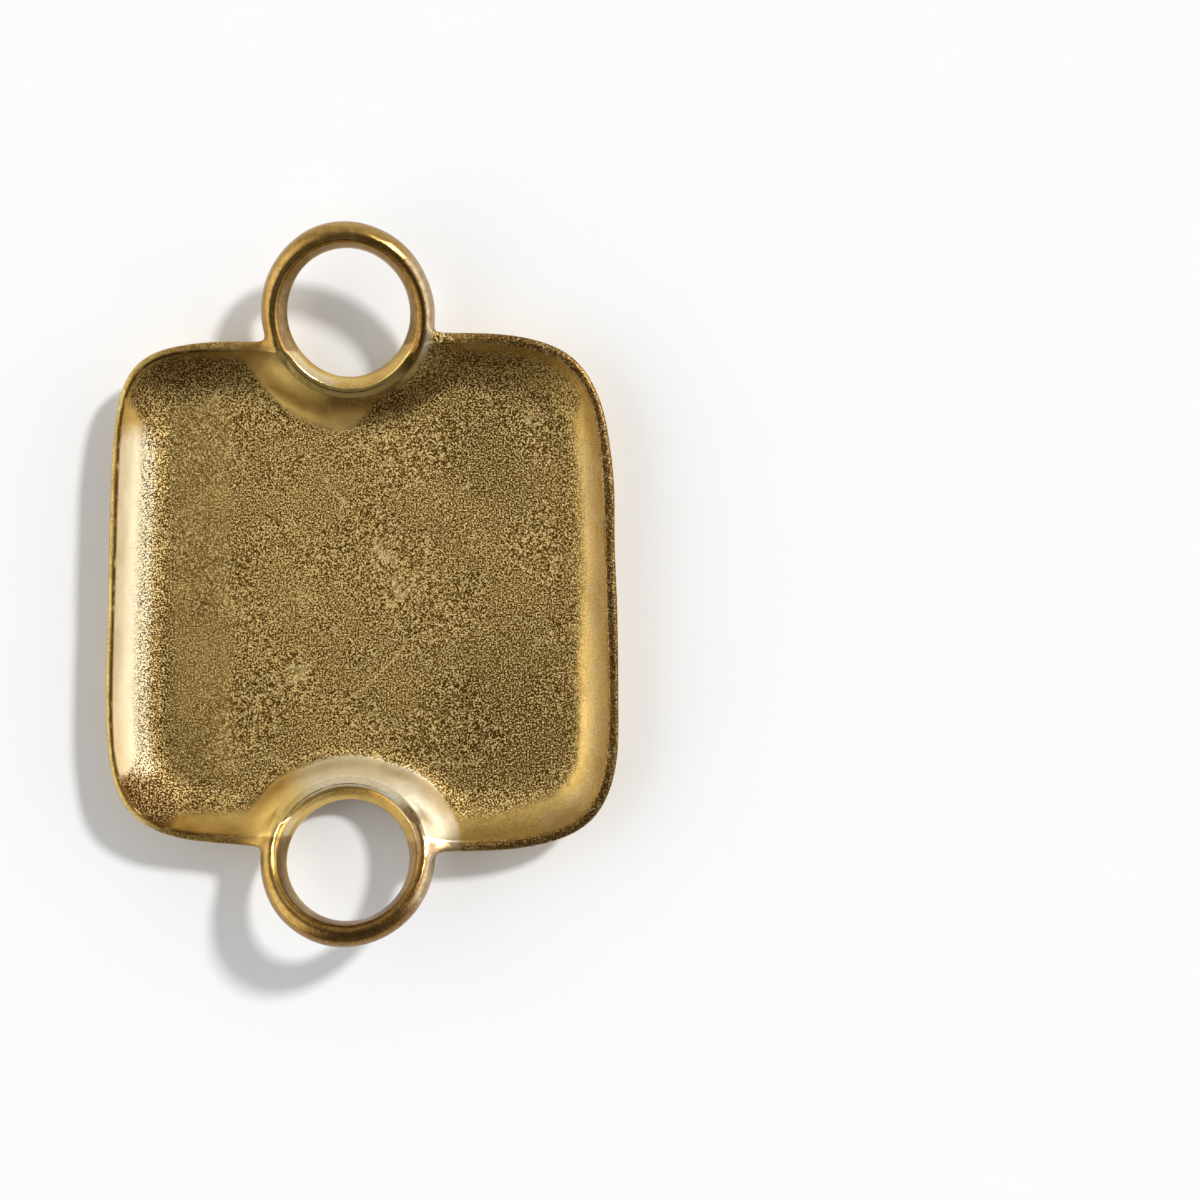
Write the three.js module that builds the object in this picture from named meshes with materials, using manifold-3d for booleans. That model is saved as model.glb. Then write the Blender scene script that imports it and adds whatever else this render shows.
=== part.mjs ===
// A cast brass serving tray: a shallow, softly squared pan with a raised ring handle at each end,
// standing on four small pads. Millimetres, +Z up. The tray's length runs along Y and its width
// along X. The origin is under the middle of the whole tray, on the surface that the pads stand on.

import * as THREE from 'three';
import { mergeVertices } from 'three/addons/utils/BufferGeometryUtils.js';
import Module from 'manifold-3d';

const wasm = await Module();
wasm.setup();

// Plan outline of the pan: a superellipse whose corners and ends differ a little, as cast by hand.
const HALF_WIDTH = 148;
const HALF_LENGTH = { farLeft: 145, farRight: 150.5, nearLeft: 148.5, nearRight: 152 };
const SQUARENESS = { farLeft: 7, farRight: 5.2, nearLeft: 5.4, nearRight: 5.4 };
const TAPER = 0.028;          // share of the half width gained at the near end and lost at the far end
const TAPER_LENGTH = 150;
const END_BLEND = 14;         // how gradually an end's left half length turns into its right one

// Section of the pan, as inset from the outline and height above the supporting surface.
const PAD_HEIGHT = 1.6;
const JOINT_GAP = 0.3;        // clearance kept between two pieces that touch
const SEAT_GROWTH = 0.4;      // how far a ring's seat is grown, so that its facets keep that clearance
const BASE_Z = PAD_HEIGHT + JOINT_GAP;
const FLOOR_Z = 5.7;
const RIM_Z = 28;
const RIM_WIDTH = 7;
const RIM_EDGE_Z = 26.4;      // crisp edge where the rim turns down into the well
const FLOOR_INSET = 36;       // where the inner wall has flattened into the floor
const BASE_INSET = 36;        // where the outer wall leaves the flat underside
const SHOULDER_Z = 25;        // height where the outer wall reaches the outline
const WALL_CURVE = 2.2;       // how quickly the inner wall flattens towards the floor
const OUTER_CURVE = 2.4;         // the same for the outer wall towards the underside
const WALL_STEPS = 6;

// Ring handles: a thick ring tilted up towards its tip, a little to the left of the pan's middle.
const RING_OUTER = 50.5;
const RING_HOLE = 35.6;
const RING_TILT = THREE.MathUtils.degToRad(20);
const RING_CENTRE_Z = 31.5;
const RING_X = -8.2;
const FAR_RING_Y = 163.2;
const NEAR_RING_Y = -155.3;

// Section of a ring, as radius and height in the ring's own plane: a round crest, a crease, and a
// leaning inner face down to the narrowest part of the hole.
const RING_CREASE = [42, 7.2];
const RING_SECTION = [
  RING_CREASE,
  [38.6, 3.2],
  [36.6, -0.5],
  [RING_HOLE, -4],
  [36.6, -6.4],
  [39.2, -7.8],
  [44, -8],
  [47.6, -7.2],
  [49.8, -5.2],
  [RING_OUTER, -2.5],
  [50.3, 0.4],
  [49.3, 3.5],
  [47.3, 6.2],
  [44.6, 7.7],
];

// Collars: the wall of the pan that flares up around the inner half of each ring.
const COLLAR_START = 48;      // radius, in the ring's plane, where the collar leaves the ring's crest
const COLLAR_TOP = 6;
const COLLAR_REACH = 46;      // how far out the flare runs before the floor or wall has met it
const COLLAR_SLOPE = 0.5;     // fall per millimetre outwards, at the crest
const COLLAR_BEND = 0.0071;   // how fast that fall gets steeper
const COLLAR_THICKNESS = 6.5;

// Pads under the base.
const PAD_RADIUS = 7;
const PAD_SPREAD = 90;        // distance of each pad from the middle of the pan, along X and along Y

const OUTLINE_SEGMENTS = 56;
const RING_SEGMENTS = 40;
const PAD_SEGMENTS = 24;
const NOMINAL_RADIUS = 150;   // radius at which the pan's section is turned before it is squared

const brass = () => new THREE.MeshStandardMaterial({ color: 0xb08d45, roughness: 0.36, metalness: 1 });
const rubber = () => new THREE.MeshStandardMaterial({ color: 0x2a2826, roughness: 0.85, metalness: 0 });

// The point of the pan's outline at a turn of phi, counted from +X.
function outlinePoint(phi) {
  const right = Math.cos(phi) >= 0;
  const far = Math.sin(phi) >= 0;
  const power = 2 / SQUARENESS[(far ? 'far' : 'near') + (right ? 'Right' : 'Left')];
  const across = Math.sign(Math.cos(phi)) * HALF_WIDTH * Math.abs(Math.cos(phi)) ** power;
  const rightShare = 1 / (1 + Math.exp(-across / END_BLEND));
  const [left, rightHalf] = far
    ? [HALF_LENGTH.farLeft, HALF_LENGTH.farRight]
    : [HALF_LENGTH.nearLeft, HALF_LENGTH.nearRight];
  const reach = THREE.MathUtils.lerp(left, rightHalf, rightShare);
  const along = Math.sign(Math.sin(phi)) * reach * Math.abs(Math.sin(phi)) ** power;
  return new THREE.Vector2(across * (1 - TAPER * along / TAPER_LENGTH), along);
}

// The outline moved inwards by inset, at a turn of phi.
function insetPoint(phi, inset) {
  const step = 0.02;
  const tangent = outlinePoint(phi + step).sub(outlinePoint(phi - step)).normalize();
  return outlinePoint(phi).add(new THREE.Vector2(-tangent.y, tangent.x).multiplyScalar(inset));
}

// Turns a round solid about Z into one that follows the pan's outline, keeping insets true near the wall.
function squareOut(geometry) {
  const place = geometry.getAttribute('position');
  const flatRadius = NOMINAL_RADIUS - FLOOR_INSET;
  for (let i = 0; i < place.count; i += 1) {
    const radius = Math.hypot(place.getX(i), place.getY(i));
    const phi = Math.atan2(place.getY(i), place.getX(i));
    const inset = Math.min(NOMINAL_RADIUS - radius, FLOOR_INSET);
    const point = insetPoint(phi, inset).multiplyScalar(Math.min(radius / flatRadius, 1));
    place.setXY(i, point.x, point.y);
  }
  return geometry;
}

// A closed solid of revolution about Z. The profile is a list of [radius, height], turned so that
// it goes up the outside and comes back down the inside or the axis, and its faces point out.
function lathe(profile, segments) {
  const points = profile.map(([radius, height]) => new THREE.Vector2(radius, height));
  if (THREE.ShapeUtils.area(points) < 0) points.reverse();
  const turned = new THREE.LatheGeometry(points, segments).rotateX(Math.PI / 2);
  turned.deleteAttribute('normal');
  turned.deleteAttribute('uv');
  const merged = mergeVertices(turned, 1e-4);
  merged.setIndex(wholeTriangles(Array.from(merged.index.array)));
  return merged;
}

// Leaves out the triangles that merging has closed to a line on the axis.
function wholeTriangles(corners) {
  const kept = [];
  for (let i = 0; i < corners.length; i += 3) {
    const [a, b, c] = corners.slice(i, i + 3);
    if (a !== b && b !== c && c !== a) kept.push(a, b, c);
  }
  return kept;
}

function toSolid(geometry) {
  return new wasm.Manifold(new wasm.Mesh({
    numProp: 3,
    vertProperties: new Float32Array(geometry.getAttribute('position').array),
    triVerts: new Uint32Array(geometry.index.array),
  }));
}

function toGeometry(solid) {
  const mesh = solid.getMesh();
  const geometry = new THREE.BufferGeometry();
  geometry.setAttribute('position', new THREE.BufferAttribute(mesh.vertProperties.slice(), 3));
  geometry.setIndex(new THREE.BufferAttribute(mesh.triVerts.slice(), 1));
  geometry.computeVertexNormals();
  return geometry;
}

// Evenly spaced shares from 0 to 1, for walking along a curved face.
const WALL_SHARES = Array.from({ length: WALL_STEPS + 1 }, (_, i) => i / WALL_STEPS);

// Outer wall from the underside up to the shoulder, as [radius, height].
function outerWall() {
  return WALL_SHARES.map((t) => [
    NOMINAL_RADIUS - BASE_INSET * (1 - t),
    BASE_Z + (SHOULDER_Z - BASE_Z) * t ** OUTER_CURVE,
  ]);
}

// Inner wall from the crisp rim edge down to the floor, as [radius, height].
function innerWall() {
  const run = FLOOR_INSET - RIM_WIDTH;
  return WALL_SHARES.map((t) => [
    NOMINAL_RADIUS - RIM_WIDTH - run * t,
    FLOOR_Z + (RIM_EDGE_Z - FLOOR_Z) * (1 - t) ** WALL_CURVE,
  ]);
}

// The pan's own wall and floor, without the collars.
function dishShell() {
  const roundedRim = [
    [NOMINAL_RADIUS - 1, RIM_Z - 0.9],
    [NOMINAL_RADIUS - RIM_WIDTH / 2, RIM_Z],
    [NOMINAL_RADIUS - RIM_WIDTH + 1, RIM_Z - 0.5],
  ];
  const profile = [[0, BASE_Z], ...outerWall(), ...roundedRim, ...innerWall(), [0, FLOOR_Z]];
  return toSolid(squareOut(lathe(profile, OUTLINE_SEGMENTS)));
}

// Everything within the pan's outer wall, carried up well above the rim.
function dishEnvelope() {
  const profile = [[0, BASE_Z], ...outerWall(), [NOMINAL_RADIUS, 2 * RIM_Z], [0, 2 * RIM_Z]];
  return toSolid(squareOut(lathe(profile, OUTLINE_SEGMENTS)));
}

// Upper face of the collar that flares from a ring's crest down to the floor, as [radius, height]
// in the ring's own frame.
function collarFace(drop) {
  return WALL_SHARES.map((t) => {
    const out = COLLAR_REACH * t;
    return [COLLAR_START + out, COLLAR_TOP - drop - COLLAR_SLOPE * out - COLLAR_BEND * out ** 2];
  });
}

// The collar's wall as a band of revolution about the ring's axis.
function collarBand() {
  const inside = RING_HOLE + 5;
  const upper = [[inside, COLLAR_TOP], ...collarFace(0)];
  const lower = [[inside, COLLAR_TOP - COLLAR_THICKNESS], ...collarFace(COLLAR_THICKNESS)];
  return lathe([...upper, ...lower.reverse(), upper[0]], RING_SEGMENTS);
}

// The space inside the collar's upper face, which the pan's own wall and floor give up to the collar.
function collarCore() {
  const upper = collarFace(1);
  const [, lowest] = upper[upper.length - 1];
  return lathe([[0, RIM_Z], [COLLAR_START, RIM_Z], ...upper, [0, lowest]], RING_SEGMENTS);
}

function ringBody() {
  return lathe([...RING_SECTION, RING_CREASE], RING_SEGMENTS);
}

// The ring and its hole, grown by the joint gap: the seat that the pan leaves for it.
function ringSeat() {
  const middle = new THREE.Vector2((RING_HOLE + RING_OUTER) / 2, 0);
  const grown = RING_SECTION.filter(([radius]) => radius > RING_CREASE[0]).map(([radius, height]) => {
    const away = new THREE.Vector2(radius, height).sub(middle).setLength(SEAT_GROWTH);
    return [radius + away.x, height + away.y];
  });
  const bottom = [[0, -RIM_Z], [RING_CREASE[0], -RIM_Z]];
  const top = [[RING_CREASE[0], RIM_Z], [0, RIM_Z]];
  return lathe([...bottom, ...grown, ...top], RING_SEGMENTS);
}

// Sets a solid in a ring's place: tilted up towards the tray's end.
function atRing(geometry, y) {
  return geometry.rotateX(Math.sign(y) * RING_TILT).translate(RING_X, y, RING_CENTRE_Z);
}

// The pan with a collar and a seat at each ring. The slivers that the cuts leave are dropped.
function trayPan() {
  const envelope = dishEnvelope();
  let pan = dishShell();
  for (const y of [FAR_RING_Y, NEAR_RING_Y]) {
    const collar = toSolid(atRing(collarBand(), y)).intersect(envelope);
    pan = pan.subtract(toSolid(atRing(collarCore(), y))).add(collar);
  }
  for (const y of [FAR_RING_Y, NEAR_RING_Y]) {
    pan = pan.subtract(toSolid(atRing(ringSeat(), y)));
  }
  const [whole] = pan.decompose().sort((a, b) => b.volume() - a.volume());
  return named('tray_pan', toGeometry(whole), brass());
}

function handleRing(name, y) {
  return named(name, atRing(ringBody(), y), brass());
}

function pad(name, x, y) {
  const edge = 0.4;
  const profile = [
    [0, 0],
    [PAD_RADIUS - edge, 0],
    [PAD_RADIUS, edge],
    [PAD_RADIUS, PAD_HEIGHT],
    [0, PAD_HEIGHT],
  ];
  const mesh = named(name, lathe(profile, PAD_SEGMENTS), rubber());
  mesh.position.set(x, y, 0);
  return mesh;
}

function named(name, geometry, material) {
  const mesh = new THREE.Mesh(geometry, material);
  mesh.name = name;
  return mesh;
}

const tray = new THREE.Group();
tray.add(trayPan());
tray.add(handleRing('handle_ring_far', FAR_RING_Y));
tray.add(handleRing('handle_ring_near', NEAR_RING_Y));
for (const [end, y] of [['far', PAD_SPREAD], ['near', -PAD_SPREAD]]) {
  tray.add(pad(`pad_${end}_left`, -PAD_SPREAD, y));
  tray.add(pad(`pad_${end}_right`, PAD_SPREAD, y));
}

// The rings reach further one way than the other, so the tray is moved until it stands about the origin.
const middle = new THREE.Box3().setFromObject(tray, true).getCenter(new THREE.Vector3());
tray.position.set(-middle.x, -middle.y, 0);

export default tray;
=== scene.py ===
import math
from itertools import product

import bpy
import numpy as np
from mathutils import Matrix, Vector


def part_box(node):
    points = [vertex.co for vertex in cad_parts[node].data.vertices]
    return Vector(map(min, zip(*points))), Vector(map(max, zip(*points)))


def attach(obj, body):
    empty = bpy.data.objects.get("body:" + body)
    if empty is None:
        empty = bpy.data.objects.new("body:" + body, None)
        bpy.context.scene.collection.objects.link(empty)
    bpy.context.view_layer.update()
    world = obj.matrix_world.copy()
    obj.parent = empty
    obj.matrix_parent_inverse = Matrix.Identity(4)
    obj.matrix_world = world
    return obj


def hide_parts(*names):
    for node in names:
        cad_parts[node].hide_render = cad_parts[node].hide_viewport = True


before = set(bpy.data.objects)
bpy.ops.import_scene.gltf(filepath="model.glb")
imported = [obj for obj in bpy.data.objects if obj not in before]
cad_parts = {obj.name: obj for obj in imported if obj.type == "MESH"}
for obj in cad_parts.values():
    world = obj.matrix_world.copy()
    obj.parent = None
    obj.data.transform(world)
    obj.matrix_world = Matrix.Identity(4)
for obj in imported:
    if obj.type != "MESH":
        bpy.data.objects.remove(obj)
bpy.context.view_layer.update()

# A cast brass serving tray: a softly squared pan with a ring handle rising at each end. The pan and
# its rings are shaped as one blended metal surface, the way a casting runs, and are then parted where
# the rings join. Shapes are worked out in millimetres about the pan's own middle, and are moved into
# the row frame, in metres, when they become Blender meshes. "Far" is +Y and "near" is -Y.

MM = 0.001

# Plan outline of the pan: a superellipse whose corners and ends differ a little.
HALF_WIDTH = 148.0
HALF_LENGTH = {("far", "left"): 145.0, ("far", "right"): 150.5,
               ("near", "left"): 148.5, ("near", "right"): 152.0}
SQUARENESS = {("far", "left"): 7.0, ("far", "right"): 5.2,
              ("near", "left"): 5.4, ("near", "right"): 5.4}
TAPER = 0.028
TAPER_LENGTH = 150.0
END_BLEND = 14.0
INSET_LIMIT = 70.0

# Section of the pan, as inset from the outline and height above the table.
BASE_Z = 1.9
FLOOR_Z = 5.7
RIM_Z = 28.0
RIM_EDGE_Z = 26.4
FLOOR_INSET = 36.0
BASE_INSET = 36.0
SHOULDER_Z = 25.0
WALL_CURVE = 2.2
OUTER_CURVE = 2.4
RIM_EDGE_INSET = 7.0        # where the wall passes through RIM_EDGE_Z
RIM_FALL = 0.1              # fall of the rim's top per millimetre inwards
RIM_ROUND = 5.0             # how far the rim's outer shoulder is rounded
RIM_CREASE = 0.9            # the same for the crisp edge into the well
BASE_EDGE = 1.5             # the same for the edge where the outer wall meets the rim
LEFT_RIM_THINNER = 2.2      # the rim is this much narrower along the left side

# Ring handles.
RING_TILT = {"far": math.radians(18.5), "near": math.radians(20.5)}
RING_CENTRE_Z = {"far": 28.8, "near": 30.5}
RING_X = -8.2
RING_Y = {"far": 160.2, "near": -154.9}
RING_OVAL = {"far": 1.065, "near": 1.02}    # length over width
RING_SECTION = [(42.0, 7.2), (38.6, 3.2), (36.6, -0.5), (35.6, -4.0), (36.6, -6.4), (39.2, -7.8),
                (44.0, -8.0), (47.6, -7.2), (49.8, -5.2), (50.5, -2.5), (50.3, 0.4), (49.3, 3.5),
                (47.3, 6.2), (44.6, 7.7)]   # crease first, as radius and height in the ring's plane
RING_MIDDLE = (43.2, -0.8)  # point that the section is drawn about
SECTION_STEPS = 721

# Collars: the wall that flares up around the inner half of each ring.
COLLAR_START = 42.0
COLLAR_TOP = 5.6
COLLAR_SLOPE = 0.12
COLLAR_BEND = 0.0175
COLLAR_THICKNESS = 5.6
COLLAR_INSIDE = 45.5        # radius where the collar stops inside the ring's metal
COLLAR_FILLET = 9.0
COLLAR_EDGE = 2.5           # how far the collar's lower edge is rounded
COLLAR_LIP = 2.0            # the same for its inner edge
WEB_FILLET = 7.0
WEB_TURN = (math.radians(45), math.radians(75))         # the web grows to its full size between these
WEB_HEIGHT = (3.0, -2.0)                                # and between these heights in the ring's frame
FLUSH_FILLET = 0.6
DRESSED_TURN = (math.radians(55), math.radians(88))     # the dressing fades out between these
DRESSED_CREASE = 1.2
DRESSED_CLEAR = 12.0        # how far the dressing lies above a ring where the ring stands free

# Where a ring is parted from the pan: a radius in the ring's plane that swings out past the ring
# on both sides of the collar.
PART_RADIUS = 46.6
PART_SWING = 9.5
PART_ANGLE = {"far": math.radians(81), "near": math.radians(93)}
PART_BLEND = math.radians(3.5)

GRID_STEP = 1.6
GRID_MARGIN = 3.0
WIDEST = 1.035              # the pan's greatest half width over HALF_WIDTH
RING_REACH = 51.0           # from a ring's centre to its outside
TALLEST = 55.0
RIM_EDGE_LOOPS = (-0.45, 0, 0.45)       # offsets of the loops laid along the rim's inner edge
RING_EDGE_LOOPS = (-0.5, 0, 0.5)        # and along the rings' creases
WAVE = 0.16                 # height of the slow unevenness that hand casting leaves


# ---------------------------------------------------------------- the shape as a field of distances

def smooth_min(a, b, reach):
    share = np.maximum(reach - np.abs(a - b), 0) / reach
    return np.minimum(a, b) - share ** 3 * reach / 6


def smooth_max(a, b, reach):
    return -smooth_min(-a, -b, reach)


def eased(low, high, value):
    share = np.clip((value - low) / (high - low), 0, 1)
    return share * share * (3 - 2 * share)


def by_quadrant(values, right, far):
    """The value of the quadrant that each point is in."""
    near_side = np.where(right, values["near", "right"], values["near", "left"])
    far_side = np.where(right, values["far", "right"], values["far", "left"])
    return np.where(far, far_side, near_side)


def end_reach(across, far):
    """Half length of the pan at its far or near end, easing from the left value to the right one."""
    share = 1 / (1 + np.exp(-across / END_BLEND))
    left = np.where(far, HALF_LENGTH["far", "left"], HALF_LENGTH["near", "left"])
    right = np.where(far, HALF_LENGTH["far", "right"], HALF_LENGTH["near", "right"])
    return left + (right - left) * share


def outline_level(x, y):
    """1 on the pan's outline, less inside it."""
    across = x / (1 - TAPER * y / TAPER_LENGTH)
    far = y >= 0
    power = by_quadrant(SQUARENESS, across >= 0, far)
    u = np.abs(across) / HALF_WIDTH
    v = np.abs(y) / end_reach(across, far)
    return (u ** power + v ** power + 1e-12) ** (1 / power)


def inset(x, y):
    """Distance inwards from the pan's outline."""
    step = 0.5
    level = outline_level(x, y)
    slope_x = (outline_level(x + step, y) - outline_level(x - step, y)) / (2 * step)
    slope_y = (outline_level(x, y + step) - outline_level(x, y - step)) / (2 * step)
    return np.minimum((1 - level) / np.sqrt(slope_x ** 2 + slope_y ** 2 + 1e-9), INSET_LIMIT)


def below_wall(inset_mm, x, z):
    """Distance above the inner wall and floor: negative below them."""
    leftness = 1 / (1 + np.exp((x + 90) / 18))
    run = FLOOR_INSET - RIM_EDGE_INSET
    along = np.clip((FLOOR_INSET - inset_mm - LEFT_RIM_THINNER * leftness) / run, 0, None)
    rise = RIM_EDGE_Z - FLOOR_Z
    height = FLOOR_Z + rise * along ** WALL_CURVE
    slope = rise * WALL_CURVE / run * along ** (WALL_CURVE - 1)
    return (z - height) / np.sqrt(1 + slope ** 2)


def below_rim(inset_mm, z):
    return z - RIM_Z + RIM_FALL * np.maximum(inset_mm - RIM_EDGE_INSET / 2, 0)


def above_base(inset_mm, z):
    along = np.clip((BASE_INSET - inset_mm) / BASE_INSET, 0, None)
    height = BASE_Z + (SHOULDER_Z - BASE_Z) * along ** OUTER_CURVE
    slope = (SHOULDER_Z - BASE_Z) * OUTER_CURVE / BASE_INSET * along ** (OUTER_CURVE - 1)
    return (height - z) / np.sqrt(1 + slope ** 2)


def in_ring(end, x, y, z):
    """A point in a ring's own frame: its radius, its height, and its turn from the pan's middle."""
    side = 1 if end == "far" else -1
    across = x - RING_X
    along = y - RING_Y[end]
    up = z - RING_CENTRE_Z[end]
    lean = side * RING_TILT[end]
    flat = (along * math.cos(lean) + up * math.sin(lean)) / RING_OVAL[end]
    height = up * math.cos(lean) - along * math.sin(lean)
    return np.sqrt(across ** 2 + flat ** 2), height, np.arctan2(across, -side * flat)


def section_table():
    """The ring's section about its middle, as angles from the crease and distances."""
    points = np.array(RING_SECTION + RING_SECTION[:1]) - RING_MIDDLE
    turn = np.unwrap(np.arctan2(points[:, 1], points[:, 0]))
    away = np.hypot(points[:, 0], points[:, 1])
    turn = turn - turn[0]
    slope = np.gradient(away, turn)
    return rounded(hermite(turn, away, slope, np.linspace(0, turn[-1], SECTION_STEPS)))


def hermite(places, values, slopes, wanted):
    """Cubic interpolation between the given places."""
    cell = np.clip(np.searchsorted(places, wanted, side="right") - 1, 0, len(places) - 2)
    width = places[cell + 1] - places[cell]
    t = (wanted - places[cell]) / width
    start = (2 * t ** 3 - 3 * t ** 2 + 1) * values[cell] + (t ** 3 - 2 * t ** 2 + t) * width * slopes[cell]
    end = (3 * t ** 2 - 2 * t ** 3) * values[cell + 1] + (t ** 3 - t ** 2) * width * slopes[cell + 1]
    return start + end


def rounded(value, spread=3.0):
    """The closed curve's distances, eased a little so that the crease has a small radius."""
    reach = np.arange(-12, 13)
    weight = np.exp(-(reach / spread) ** 2 / 2)
    ring = np.concatenate([value[-13:-1], value, value[1:13]])
    return np.convolve(ring, weight / weight.sum(), mode="valid")


SECTION = section_table()
CREASE_TURN = math.atan2(RING_SECTION[0][1] - RING_MIDDLE[1], RING_SECTION[0][0] - RING_MIDDLE[0])


def in_ring_metal(radius, height):
    """Distance outside the ring's section."""
    out = radius - RING_MIDDLE[0]
    up = height - RING_MIDDLE[1]
    turn = np.mod(np.arctan2(up, out) - CREASE_TURN, 2 * math.pi) / (2 * math.pi)
    place = turn * (len(SECTION) - 1)
    lower = np.minimum(place.astype(int), len(SECTION) - 2)
    share = place - lower
    edge = SECTION[lower] * (1 - share) + SECTION[lower + 1] * share
    slope = (SECTION[lower + 1] - SECTION[lower]) * (len(SECTION) - 1) / (2 * math.pi)
    return (np.hypot(out, up) - edge) / np.sqrt(1 + (slope / edge) ** 2)


def above_collar(radius, height):
    """Distance above the collar's upper face."""
    out = radius - COLLAR_START
    face = COLLAR_TOP - COLLAR_SLOPE * out - COLLAR_BEND * out ** 2
    slope = COLLAR_SLOPE + 2 * COLLAR_BEND * out
    return (height - face) / np.sqrt(1 + slope ** 2)


def dressing(radius, height, turn):
    """Above the face that a ring's crest is dressed down to where the collar runs up to it."""
    free = eased(DRESSED_TURN[0], DRESSED_TURN[1], np.abs(turn))
    return above_collar(radius, height) - DRESSED_CLEAR * free


def dressed_ring(radius, height, turn):
    return smooth_max(in_ring_metal(radius, height), dressing(radius, height, turn), DRESSED_CREASE)


def web_reach(height, turn):
    """Size of the fillet between a ring and the pan: small where the collar runs flush onto the ring."""
    web = np.maximum(eased(*WEB_TURN, np.abs(turn)), eased(*WEB_HEIGHT, height))
    return FLUSH_FILLET + (WEB_FILLET - FLUSH_FILLET) * web


def waves(x, y, z):
    """Slow unevenness of the faces that show; the underside stays flat."""
    wave = (np.sin(x / 17 + 1.3 * np.sin(y / 31)) + np.sin(y / 14 + 1.1 * np.sin(x / 27) + 0.7)
            + np.sin((x + y) / 11 + z / 9 + 2.1) * 0.6 + np.sin((x - y) / 8.3 + 0.4) * 0.45)
    return wave * np.clip((z - BASE_Z - 0.5) / 3, 0, 1)


def field(x, y, z):
    """Signed distance to the tray's metal, in millimetres: negative inside."""
    inset_mm = inset(x, y)
    rings = {end: in_ring(end, x, y, z) for end in RING_Y}
    collars = {end: above_collar(*rings[end][:2]) for end in RING_Y}
    top = smooth_max(below_wall(inset_mm, x, z), below_rim(inset_mm, z), RIM_CREASE)
    for end in RING_Y:
        top = smooth_min(top, collars[end], COLLAR_FILLET)
    pan = smooth_max(smooth_max(top, -inset_mm, RIM_ROUND), above_base(inset_mm, z), BASE_EDGE)
    for end in RING_Y:
        pan = smooth_max(pan, -(collars[end] + COLLAR_THICKNESS), COLLAR_EDGE)
        pan = smooth_max(pan, COLLAR_INSIDE - rings[end][0], COLLAR_LIP)
    whole = pan
    for end in RING_Y:
        whole = smooth_min(whole, dressed_ring(*rings[end]), web_reach(*rings[end][1:]))
    return whole + WAVE * waves(x, y, z)


def field_at(points):
    return field(points[:, 0], points[:, 1], points[:, 2])


def gradient_at(points, step=0.2):
    found = np.empty_like(points)
    for axis in range(3):
        shift = np.zeros(3)
        shift[axis] = step
        found[:, axis] = (field_at(points + shift) - field_at(points - shift)) / (2 * step)
    return found


# ---------------------------------------------------------------- meshing the field

def settle(points, rounds=4):
    """Moves points onto the surface along the field's slope."""
    for _ in range(rounds):
        slope = gradient_at(points)
        size = np.maximum((slope ** 2).sum(1), 0.05)
        points = points - np.clip(field_at(points) / size, -1, 1)[:, None] * slope
    return points


def sample_grid():
    """The field on a regular grid around the whole tray, with the grid's first corner."""
    low = np.array([-HALF_WIDTH * WIDEST, RING_Y["near"] - RING_REACH, 0.0]) - GRID_MARGIN
    high = np.array([HALF_WIDTH * WIDEST, RING_Y["far"] + RING_REACH, TALLEST]) + GRID_MARGIN
    x, y, z = (np.arange(a, b, GRID_STEP) for a, b in zip(low, high))
    return field(x[:, None, None], y[None, :, None], z[None, None, :]), low


def surface_net(values, low):
    """One vertex in each grid cell that the surface passes, and a quad round each crossed edge."""
    inside = values < 0
    shape = tuple(n - 1 for n in values.shape)
    count = sum(inside[i:shape[0] + i, j:shape[1] + j, k:shape[2] + k].astype(np.int8)
                for i, j, k in product((0, 1), repeat=3))
    active = (count > 0) & (count < 8)
    number = np.full(shape, -1)
    cells = np.argwhere(active)
    number[active] = np.arange(len(cells))
    return low + GRID_STEP * cell_points(values, cells), net_quads(inside, number)


def cell_points(values, cells):
    """The mean of the crossings on each cell's edges, in grid steps."""
    total = np.zeros((len(cells), 3))
    hits = np.zeros(len(cells))
    for axis in range(3):
        along = np.eye(3, dtype=int)[axis]
        others = [np.eye(3, dtype=int)[a] for a in range(3) if a != axis]
        for i, j in product((0, 1), repeat=2):
            start = cells + i * others[0] + j * others[1]
            a = values[tuple(start.T)]
            b = values[tuple((start + along).T)]
            crossed = (a < 0) != (b < 0)
            share = np.where(crossed, a / np.where(crossed, a - b, 1), 0)
            total += crossed[:, None] * (start + share[:, None] * along)
            hits += crossed
    return total / hits[:, None]


def net_quads(inside, number):
    quads = []
    for axis in range(3):
        along = np.eye(3, dtype=int)[axis]
        u = np.eye(3, dtype=int)[(axis + 1) % 3]
        v = np.eye(3, dtype=int)[(axis + 2) % 3]
        ends = [slice(0, n - 1) if a == axis else slice(0, n) for a, n in enumerate(inside.shape)]
        nexts = [slice(1, n) if a == axis else slice(0, n) for a, n in enumerate(inside.shape)]
        edges = np.argwhere(inside[tuple(ends)] != inside[tuple(nexts)])
        corners = [number[tuple((edges - shift).T)] for shift in (0 * u, u, u + v, v)]
        quad = np.stack(corners, 1)
        facing = inside[tuple(edges.T)]
        quad[~facing] = quad[~facing][:, ::-1]
        quads.append(quad)
    return np.concatenate(quads)


def relaxed(points, quads, rounds=3):
    """Evens out the spacing of the vertices, staying on the surface."""
    pairs = np.concatenate([quads[:, [i, (i + 1) % 4]] for i in range(4)])
    starts = np.concatenate([pairs[:, 0], pairs[:, 1]])
    ends = np.concatenate([pairs[:, 1], pairs[:, 0]])
    count = np.bincount(starts, minlength=len(points))
    for _ in range(rounds):
        mean = np.stack([np.bincount(starts, points[ends, a], len(points)) for a in range(3)], 1)
        points = points + 0.6 * (mean / count[:, None] - points)
        points = settle(points, rounds=2)
    return points


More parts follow.
